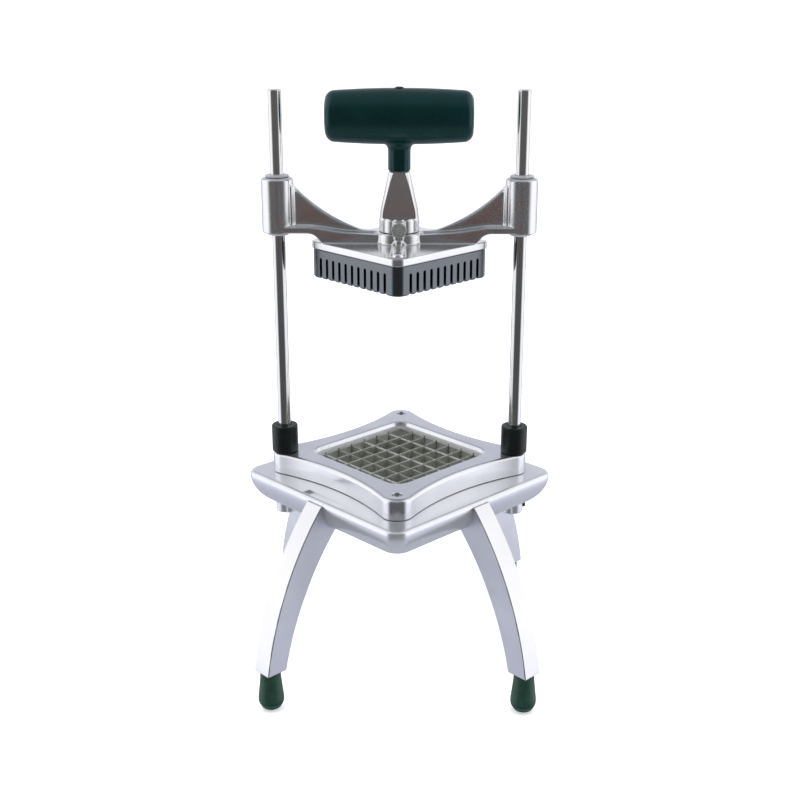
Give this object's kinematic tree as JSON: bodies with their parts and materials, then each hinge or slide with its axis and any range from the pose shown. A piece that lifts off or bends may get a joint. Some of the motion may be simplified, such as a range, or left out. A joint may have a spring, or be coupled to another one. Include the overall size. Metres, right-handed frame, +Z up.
{
  "type": "vegetable dicer",
  "caption": "Push-down vegetable dicer: a handled head with a fingered pusher slides on two guide rods above a square blade grid in a footed base.",
  "frame": {"origin": "on the table surface that the feet stand on, below the centre of the square blade grid", "axes": "+Z up along the guide rods; +X to the operator's right, through both guide rods; -Y towards the operator. The square base, cover and pusher are turned 45 degrees, so their corners lie on X and Y"},
  "size_m": [0.2172, 0.2172, 0.4156],
  "materials": {
    "leg_casting": "satin, polished smooth on the flat sides",
    "base_casting": "satin, brighter along the rim",
    "cover_casting": "satin top with bright rounded edges",
    "cassette_casting": "dull satin",
    "head_casting": "satin, polished on edges and bosses",
    "cone_casting": "polished",
    "rod_steel": "polished stainless steel",
    "blade_steel": "ground stainless steel with a bright edge",
    "fastener_steel": "satin stainless steel",
    "lock_screw_steel": "satin with a turned ring",
    "black_steel": "black oxide",
    "bumper_rubber": "smooth, slightly glossy",
    "foot_rubber": "smooth, semi-matte",
    "grip_vinyl": "glossy dipped vinyl",
    "pusher_plastic": "satin moulded",
    "bushing_nylon": "satin"
  },
  "bodies": {
    "base": {"leg_rear_right": "leg_casting", "leg_bolt_rear_right": "fastener_steel", "foot_rear_right": "foot_rubber", "leg_rear_left": "leg_casting", "leg_bolt_rear_left": "fastener_steel", "foot_rear_left": "foot_rubber", "leg_front_left": "leg_casting", "leg_bolt_front_left": "fastener_steel", "foot_front_left": "foot_rubber", "leg_front_right": "leg_casting", "leg_bolt_front_right": "fastener_steel", "foot_front_right": "foot_rubber", "base_casting": "base_casting", "cover_frame": "cover_casting", "cover_screw_front": "fastener_steel", "cover_screw_rear": "fastener_steel", "blade_cassette": "cassette_casting", "blade_upper_1": "blade_steel", "blade_lower_1": "blade_steel", "blade_upper_2": "blade_steel", "blade_lower_2": "blade_steel", "blade_upper_3": "blade_steel", "blade_lower_3": "blade_steel", "blade_upper_4": "blade_steel", "blade_lower_4": "blade_steel", "blade_upper_5": "blade_steel", "blade_lower_5": "blade_steel", "blade_upper_6": "blade_steel", "blade_lower_6": "blade_steel", "guide_rod_left": "rod_steel", "bumper_left": "bumper_rubber", "rod_set_screw_left": "black_steel", "guide_rod_right": "rod_steel", "bumper_right": "bumper_rubber", "rod_set_screw_right": "black_steel"},
    "head": {"head_casting": "head_casting", "bushing_lower_left": "bushing_nylon", "bushing_lower_right": "bushing_nylon", "bushing_upper_left": "bushing_nylon", "bushing_upper_right": "bushing_nylon", "handle_cone": "cone_casting", "handle_core": "fastener_steel", "grip": "grip_vinyl", "tie_bolt": "black_steel", "handle_lock_screw": "lock_screw_steel", "pusher_block": "pusher_plastic", "pusher_nut": "fastener_steel", "pusher_dowel_left": "fastener_steel", "pusher_dowel_right": "fastener_steel"}
  },
  "joints": [
    {"name": "head_slide", "type": "slide", "parent": "base", "child": "head", "axis": [0, 0, 1], "range_m": [-0.138, 0.055]}
  ]
}
